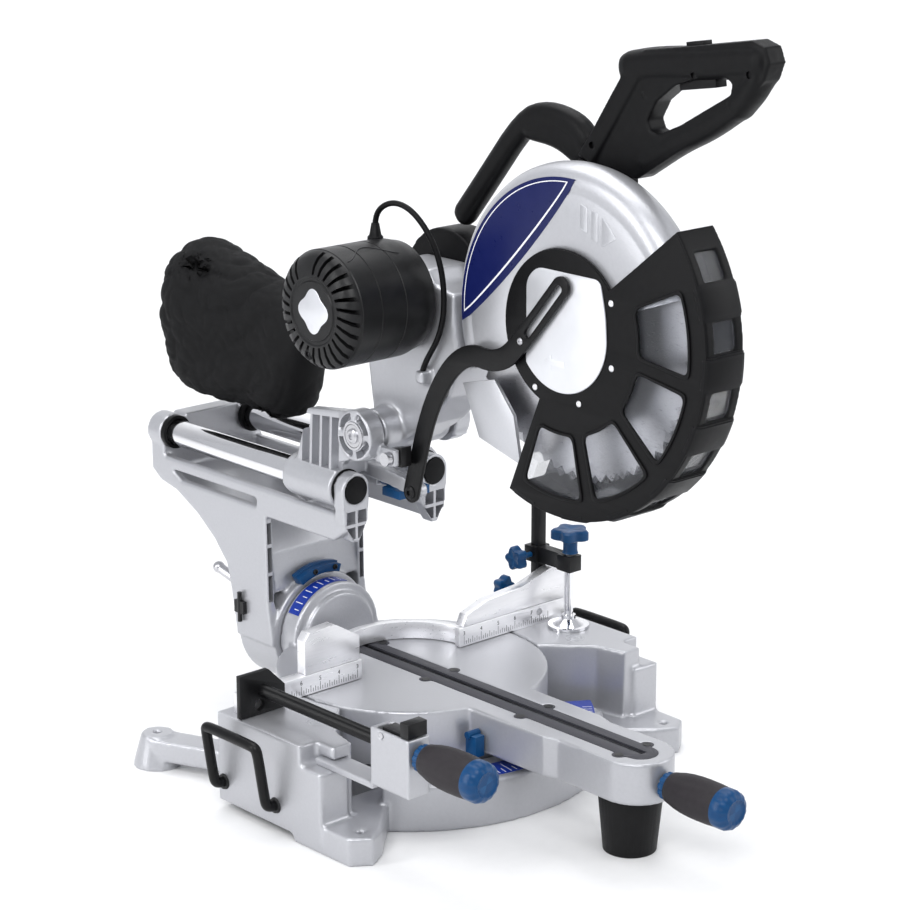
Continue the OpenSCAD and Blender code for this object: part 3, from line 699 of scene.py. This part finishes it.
def bar(points, wide, thick, x):
    """A bar of oval section with domed ends along a line in the side plane."""
    line = rounded_line(points, 2)
    rings = []
    n = len(line)
    start, finish = Vector(line[0]), Vector(line[-1])
    first, last = (start - Vector(line[1])).normalized(), (finish - Vector(line[-2])).normalized()
    stations = [(start + first * wide * math.sin(t), first * -1, math.cos(t))
                for t in (1.45, 1.0, 0.5)]
    for i, p in enumerate(line):
        way = Vector(line[min(n - 1, i + 1)]) - Vector(line[max(0, i - 1)])
        stations.append((Vector(p), way.normalized(), 1))
    stations += [(finish + last * wide * math.sin(t), last, math.cos(t))
                 for t in (0.5, 1.0, 1.45)]
    bm = bmesh.new()
    for centre, way, size in stations:
        side = way.orthogonal()
        loop = []
        for k in range(24):
            a = 2 * math.pi * k / 24
            c, d = math.cos(a), math.sin(a)
            c, d = [math.copysign(abs(v) ** 0.8, v) for v in (c, d)]
            at = centre + side * wide * size * c
            loop.append(bm.verts.new(in_yz(at.x, at.y, x + thick * size * d)))
        rings.append(loop)
    for a, b in zip(rings, rings[1:]):
        for k in range(24):
            m = (k + 1) % 24
            bm.faces.new((a[k], a[m], b[m], b[k]))
    bm.faces.new(rings[0])
    bm.faces.new(rings[-1])
    return clean(bm)


def grown(name, meshes, nodes, voxel, passes, cut=()):
    """Shapes melted into one moulding."""
    piece = bpy.data.objects.new(name, join(meshes))
    add_to_scene(piece)
    melt(piece, cell_size(voxel), passes)
    if cut:
        carve(piece, cut, "MANIFOLD")
    mesh = piece.data
    bpy.data.objects.remove(piece)
    made = place(name, mesh, SLOT[nodes[0]], BODY[nodes[0]], None, 60)
    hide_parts(*nodes)
    return made


def slimmed(node):
    """A handle shell drawn in towards the middle of the handle."""
    mesh = NODES[node].data.copy()
    middle = HANDLE_MIDDLE * MM
    for v in mesh.vertices:
        v.co.x = middle + (v.co.x - middle) * HANDLE_SLIMMING
    return mesh


def make_handles():
    parts = [slimmed("main_handle_left"), slimmed("main_handle_right"),
             bar([(-268, 768), (-300, 775), (-360, 781), (-412, 789), (-429, 790)], 16.5, 16, 50),
             bar([(-428, 788), (-424, 768), (-402, 745)], 13, 14, 50),
             bar([(-404, 747), (-366, 722), (-330, 705), (-290, 680)], 12.5, 13, 50)]
    band = [(-206, 678), (-227, 707), (-251, 743), (-272, 773), (-288, 764), (-266, 731),
            (-243, 697), (-226, 671)]
    parts.append(prism(band, in_yz, 35, 65))
    tilt = Matrix.Translation(Vector((50, -352, 784))) @ Matrix.Rotation(
        math.radians(-9.2), 4, "X")

    def pocket(x0, x1, y0, y1, z0, z1):
        mesh = block(x0, x1, y0, y1, z0, z1)
        for v in mesh.vertices:
            v.co = (tilt @ (v.co / MM)) * MM
        return mesh

    pockets = [pocket(-8, 8, -25, 25, -30, -6), pocket(-6.5, 6.5, -12, 12, 7, 22)]
    screws = ((-226, 690), (-292, 745), (-356, 770), (-424, 778))
    for y, z in screws:
        spot = about_x(Vector((0, y * MM, z * MM)))
        pockets.append(lathe([(30, 0.01), (30, 3.6), (38.5, 3.6), (38.5, 0.01)], spot, steps=20))
    grown("main_handle", parts, ("main_handle_left", "main_handle_right"), 1.5, 5, pockets)
    carry = [bar([(-30, 594), (-62, 632), (-118, 700), (-150, 711), (-190, 704), (-206, 690)],
                 13, 11, 51),
             bar([(-128, 697), (-168, 694), (-202, 678)], 16, 10.8, 51)]
    grown("transport_handle", carry, ("carry_handle",), 1.5, 8)
    line = rounded_line([(-37, 312), (-67, 417), (-116, 478), (-170, 472), (-207, 509),
                         (-254, 564)])
    link = place("guard_link_arm", panel([ribbon(line, 22), ribbon([(-209, 511), (-252, 562)], 8)],
                                         in_yz, -33.5, -29.5, 0.9), "black_metal", "link")
    pin = lathe([(-30, 0.01), (-30, 4), (-16, 4), (-16, 0.01)],
                about_x(LINK_PIVOT), steps=24)
    place("guard_link_pin", pin, "black_metal", "link")
    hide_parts("guard_link")
    lead = [(-50, -4, 592), (-50, -5, 602), (-49, -13, 612), (-46, -30, 618), (-42, -48, 613),
            (-38, -63, 599), (-34, -75, 580), (-31, -83, 556), (-30, -86, 530), (-29, -84, 506),
            (-28, -76, 484), (-28, -64, 466), (-28, -55, 454), (-28, -51, 444)]
    wire = place("lead", tube([Vector(p) * MM for p in lead], 3, sides=6), "black_plastic",
                 "head", smooth=60)
    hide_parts("motor_lead")


def make_carry_bars():
    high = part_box("carry_bars")[1]
    reach = high.x / MM - 5.5
    foot = reach - 23
    loops = []
    for side in (-1, 1):
        line = [(foot, 20, 31), (foot + 11, 20, 31), (foot + 13, 20, 36), (reach - 2, 20, 90),
                (reach, 19, 98), (reach, 12, 99), (reach, -56, 99), (reach, -63, 98),
                (reach - 2, -64, 90), (foot + 13, -64, 36), (foot + 11, -64, 31),
                (foot, -64, 31)]
        loops.append(tube([Vector((side * x, y, z)) * MM for x, y, z in line], 5.5, sides=6))
        for y in (20, -64):
            boss = Vector((0, y * MM, 0.031))
            loops.append(lathe([(side * foot, 0.01), (side * foot, 8.5),
                                (side * (foot + 2.4), 7.6), (side * (foot + 2.4), 0.01)],
                               about_x(boss), steps=28))
    bars = place("carrying_bars", join(loops), "black_metal", "base", smooth=50)
    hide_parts("carry_bars")


# ---- grips and knobs -------------------------------------------------------------------------
def make_grip(name, origin, body, nodes):
    """Sculpted rubber barrel with a notched collar and a ribbed end cap."""
    turn = about_y(origin)
    steps = 72
    barrel = [(7.8, 5), (7.8, 14), (9, 15.8), (14, 17), (22, 19.2), (32, 20.9), (42, 21.8),
              (52, 22), (62, 21.5), (70, 20.6), (74, 20.2), (74, 5)]
    flute = lambda w, a: 1 - 0.05 * max(0, math.sin(math.pi * (w - 10) / 60)) * (
        0.5 + 0.5 * math.cos(6 * a)) ** 2 if 10 < w < 70 else 1
    grip = place(name + "_barrel", lathe(barrel, turn, steps=steps, swell=flute), "grip_rubber",
                 body, smooth=45)
    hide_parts(nodes[0])
    notch = lambda w, a: 1 - 0.06 * (math.cos(12 * a) > 0.35)
    collar = lathe([(0, 6.5), (0, 13), (1, 14), (7, 14), (8, 13.4), (8, 6.5)], turn,
                   steps=96, swell=notch)
    ribs = lambda w, a: 1 - 0.035 * (0.5 + 0.5 * math.cos(14 * a)) * (w > 76)
    cap = lathe([(74, 5), (74, 20.3), (75, 20.5), (84, 20.5), (88, 18.8), (91, 15.5),
                 (92, 13), (91, 11.5), (90.6, 8), (90.6, 0.01), (80, 0.01)], turn,
                steps=112, swell=ribs)
    blue = place(name + "_cap", join([collar, cap]), "blue_plastic", body, smooth=40)
    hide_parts(nodes[1])


def star(radius, turn):
    """A five-lobed knob with a dished top."""
    lobes = lambda w, a: 0.87 + 0.13 * math.cos(5 * a)
    profile = [(0, 0.01), (0, radius * 0.9), (1.2, radius), (9.5, radius), (11.5, radius * 0.9),
               (12, radius * 0.78), (11, radius * 0.5), (10.6, 0.01)]
    return lathe(profile, turn, steps=100, swell=lobes)


def make_knobs():
    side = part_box("hold_down_arm_knob")
    knob = star(14, lambda w, r, a: Vector((
        side[0].x + KNOB_HEIGHT - w * MM, SIDE_KNOB_Y + r * MM * math.cos(a),
        SIDE_KNOB_Z + r * MM * math.sin(a))))
    stem = lathe([(0, 0.01), (0, 3), (16, 3), (16, 0.01)], lambda w, r, a: Vector((
        side[1].x - w * MM, SIDE_KNOB_Y + r * MM * math.cos(a),
        SIDE_KNOB_Z + r * MM * math.sin(a))), steps=24)
    piece = place("hold_down_side_knob", join([knob, stem]), "blue_plastic", "hold_arm_lock")
    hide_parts("hold_down_arm_knob")
    low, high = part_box("hold_down_knob")
    axis = (low + high) / 2
    top = star(22, about_z(Vector((axis.x, axis.y, high.z - KNOB_HEIGHT))))
    neck = lathe([(0, 5.2), (0, 9), (3, 8), (17, 8), (17, 5.2)],
                 about_z(Vector((axis.x, axis.y, low.z))), steps=32)
    piece = place("hold_down_top_knob", join([top, neck]), "blue_plastic", "hold_screw")
    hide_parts("hold_down_knob")
    low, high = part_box("fence_knob")
    axis = (low + high) / 2
    knob = star(13, lambda w, r, a: Vector((
        axis.x + r * MM * math.cos(a), high.y - KNOB_HEIGHT + w * MM,
        axis.z + r * MM * math.sin(a))))
    stem = lathe([(0, 0.01), (0, 3), (13, 3), (13, 0.01)], lambda w, r, a: Vector((
        axis.x + r * MM * math.cos(a), low.y + w * MM, axis.z + r * MM * math.sin(a))), steps=24)
    piece = place("fence_star_knob", join([knob, stem]), "blue_plastic", "fence_lock")
    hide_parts("fence_knob")


# ---- dust bag --------------------------------------------------------------------------------
def make_bag():
    """A slack sack with folds and crinkles that fade out at its neck."""
    piece = copy_of("dust_bag")
    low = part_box("dust_bag")[0]
    melt(piece, BAG_VOXEL, 6)
    sub = piece.modifiers.new("sub", "SUBSURF")
    sub.levels = sub.render_levels = 1
    apply_modifiers(piece)
    piece.data.update()
    for v in piece.data.vertices:
        c = v.co
        t = max(0.0, min(1.0, (c.y - low.y - 0.01) / 0.04))
        fold = noise.noise(Vector((c.x * 12, c.y * 11 + 5 * c.z, c.z * 14))) * 0.008
        ridge = 1 - abs(noise.noise(Vector((c.x * 30, c.y * 24 + 11 * c.z, c.z * 26))))
        fine = 1 - abs(noise.noise(Vector((c.x * 75, c.y * 60 - 20 * c.z, c.z * 66))))
        v.co = c + v.normal * t * (fold - 0.0034 * ridge ** 5 - 0.0016 * fine ** 4)
    bag = finish_skin(piece, "dust_bag", 0)
    band = [(-1, 26.6), (-1, 29), (1, 30), (9, 30), (11, 29), (11, 26.6)]
    neck = Vector((0, low.y, 0.452))
    place("bag_neck_band", lathe(band, lambda w, r, a: neck + Vector((
        r * math.cos(a), w + 1.2, r * math.sin(a))) * MM, steps=48), "black_plastic", "head")


# ---- scales ----------------------------------------------------------------------------------
def make_scales():
    """Inch ticks and figures on the fence, degree ticks on the base and the bevel boss."""
    inch, face = 25.4, -0.12
    ticks = []
    first, last = 3, 8
    for side in (-1, 1):
        for n in range(first * 8, last * 8 + 1):
            x = side * n * inch / 8
            tall = {0: 9, 4: 7, 2: 5.5, 6: 5.5}.get(n % 8, 4)
            ticks.append(block(x - 0.22, x + 0.22, face, 0.1, 109, 109 + tall))
            if n % 8 == 0 and n < last * 8:
                ticks.append(number(str(n // 8), 6.5, lambda u, v, w: in_xz(u, v, face - w),
                                    x, 119.5, 0))
    place("fence_scale", join(ticks), "print_black", "base", "machined", 0)
    band = [(50.1, 168), (50.1, 197), (50.5, 197), (50.5, 168)]
    place("mitre_scale_band", lathe(band, about_z(Vector((0, 0, 0))), 212, 328, 80),
          "scale_blue", "base", "label_blue")
    marks = []
    for n in range(-52, 53, 2):
        a = math.radians(270 + n)
        r0, r1 = (174, 195) if n % 10 == 0 else (185, 195)
        side = Vector((-math.sin(a), math.cos(a))) * 0.35
        p, q = Vector((math.cos(a), math.sin(a))) * r0, Vector((math.cos(a), math.sin(a))) * r1
        marks.append(prism([p + side, q + side, q - side, p - side], in_xy, 50.4, 50.75))
    place("mitre_scale_ticks", join(marks), "print_white", "base", "label_blue", 0)
    centre = Vector((0, 0, BEVEL.z))
    around = lambda w, r, a: centre + Vector((r * math.cos(a), w, r * math.sin(a))) * MM
    strip = [(129, 59.9), (129, 60.5), (146, 60.5), (146, 59.9)]
    place("bevel_scale", lathe(strip, around, 72, 148, 40), "scale_blue", "turntable",
          "label_blue")
    bits = [lathe([(132, 60.4), (132, 60.75), (139 + 4 * (n % 2), 60.75),
                   (139 + 4 * (n % 2), 60.4)], around, 78 + 8 * n, 78.9 + 8 * n, 2)
            for n in range(9)]
    place("bevel_scale_ticks", join(bits), "print_white", "turntable", "label_blue", 0)


# ---- castings --------------------------------------------------------------------------------
def column_pockets():
    """Square cells in the flanks and tapered cells under each rail lug."""
    taper = 0.35
    cells = []
    for side in (-1, 1):
        for z0, z1 in ((150, 180), (184, 212), (216, 240)):
            x0, x1 = sorted((side * 62.2, side * 68))
            cells.append(block(x0, x1, 148, 176, z0, z1))
        for dx0, dx1 in ((-13.5, -1.6), (1.6, 13.5)):
            top = [(side * 55 + dx0, 283), (side * 55 + dx1, 283),
                   (side * 55 + dx1, 269), (side * 55 + dx0, 269)]
            low = [(side * 55 + dx0, 265.5), (side * 55 + dx1, 265.5),
                   (side * 55 + dx1 * (taper if dx1 > 2 else 1), 252.5),
                   (side * 55 + dx0 * (taper if dx0 < -2 else 1), 252.5)]
            cells += [prism(top, in_xz, 20, 36), prism(low, in_xz, 20, 36)]
    return cells


def carriage_pockets():
    """Slanted cells in the fins and four lobed cells in each hub."""
    cells = []
    for side in (-1, 1):
        x0, x1 = sorted((side * 59, side * 70))
        for i in range(4):
            y0 = 37 + 16 * i
            lean = 7 * 0.4
            top0, top1 = 389 - 1.6 * i, 387.6 - 1.6 * i
            cell = [(y0, 325), (y0 + 12.5, 325), (y0 + 12.5 - lean, top1 - 5),
                    (y0 - lean, top0 - 5)]
            cells.append(prism(cell, in_yz, x0, x1))
        for k in range(4):
            arc = ring(24, 12 + 90 * k, 78 + 90 * k, 10) + ring(16.5, 78 + 90 * k, 12 + 90 * k, 10)
            lobe = [(u + PIVOT.y / MM, v + PIVOT.z / MM) for u, v in arc]
            cells.append(prism(lobe, in_yz, *sorted((side * 60, side * 72))))
    return cells


def make_castings():
    cast("base_casting", 2.4, 6)
    cast("turntable_casting", 2.2, 4)
    cast("column_casting", 1.9, 3, cut=column_pockets())
    cast("carriage_casting", 1.5, 3, cut=carriage_pockets())
    cast("head_arm", 2.4, 10)
    cast("clamp_body", 1.4, 2)
    cast("belt_housing", 2.0, 8)


def make_trim():
    """Small fasteners and marks that sit on the castings."""
    shaft = lathe([(-71, 0.01), (-71, 12), (71, 12), (71, 0.01)], about_x(PIVOT), steps=48)
    rims = [lathe([(k * 70, 12.2), (k * 71.4, 12.6), (k * 71.4, 15), (k * 70, 15.4)],
                  about_x(PIVOT), steps=48) for k in (-1, 1)]
    pin = place("chop_shaft", join([shaft] + rims), "steel", BODY["chop_pivot_shaft"])
    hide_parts("chop_pivot_shaft")
    gland = lathe([(573, 0.01), (573, 8.5), (579, 8), (581, 6.2), (593, 4), (593, 0.01)],
                  about_z(LEAD_EXIT), steps=28)
    place("lead_gland", gland, "black_plastic", "head")
    for side, name in SIDES:
        centre = Vector((side * 0.185, -0.062, 0))
        rings = [lathe([(105.6, r - 0.6), (106.35, r - 0.4), (106.35, r + 0.4), (105.6, r + 0.6)],
                       about_z(centre), steps=48) for r in (9, 5)]
        place(f"wing_mark_{name}", join(rings), "cast_silver", "base", smooth=40)
    spot = about_x(LINK_PIVOT)
    screw("link_pivot_screw", 7, lambda w, r, t: spot(-33.4 - w, r, t), "link",
          "black_metal", 2.6)
    spot = about_x(LINK_SLOT)
    screw("link_slot_screw", 3.6, lambda w, r, t: spot(-33.4 - w, r, t), "link",
          "steel", 1.6)
    spot = about_x(PIVOT)
    for side, name in SIDES:
        screw(f"pivot_bolt_{name}", 8,
              lambda w, r, t, k=side: spot(k * (71 + w), r, t), "carriage", "steel", 3)
    stop = [block(-75, -69.5, 196, 212, 128, 142),
            lathe([(118, 0.01), (118, 2.6), (152, 2.6), (152, 0.01)],
                  about_z(Vector((-0.0735, 0.204, 0))), steps=20)]
    place("bevel_stop", join(stop), "black_metal", "column")
    for i, x in enumerate((-14, 14)):
        z = BEVEL.z / MM + 72
        centre = Vector((x * MM, 0, (z - 1.2) * MM))
        screw(f"pointer_bolt_{i}", 3.2, lambda w, r, t, c=centre: c + Vector((
            r * math.cos(t), 143.8 - w, r * math.sin(t))) * MM, "column", "black_metal", 1.8)


# ---- build -----------------------------------------------------------------------------------
make_camera()
LOOK = make_materials()
make_stage()

for name, node in NODES.items():
    node.data.materials.clear()
    node.data.materials.append(LOOK[SLOT[name]])

make_castings()
make_lower_guard()
make_upper_guard()
make_motor()
make_handles()
make_carry_bars()
make_grip("mitre", MITRE_GRIP_AT, "mitre_handle", ("mitre_grip", "mitre_grip_cap"))
make_grip("clamp", CLAMP_GRIP_AT, "clamp_handle", ("clamp_grip", "clamp_grip_cap"))
make_knobs()
make_bag()
make_scales()
make_trim()
for name in ["fence", "fence_upper_left", "fence_upper_right", "kerf_insert",
             "hold_down_arm", "clamp_lever", "clamp_bar", "hold_down_post", "slide_lock_lever",
             "detent_lever", "trigger", "lock_off_button", "dust_chute", "head_lock_housing"]:
    crisp(name)
for name in ["slide_rails", "rail_caps", "front_foot", "bevel_pointer"]:
    crisp(name, 0.8)
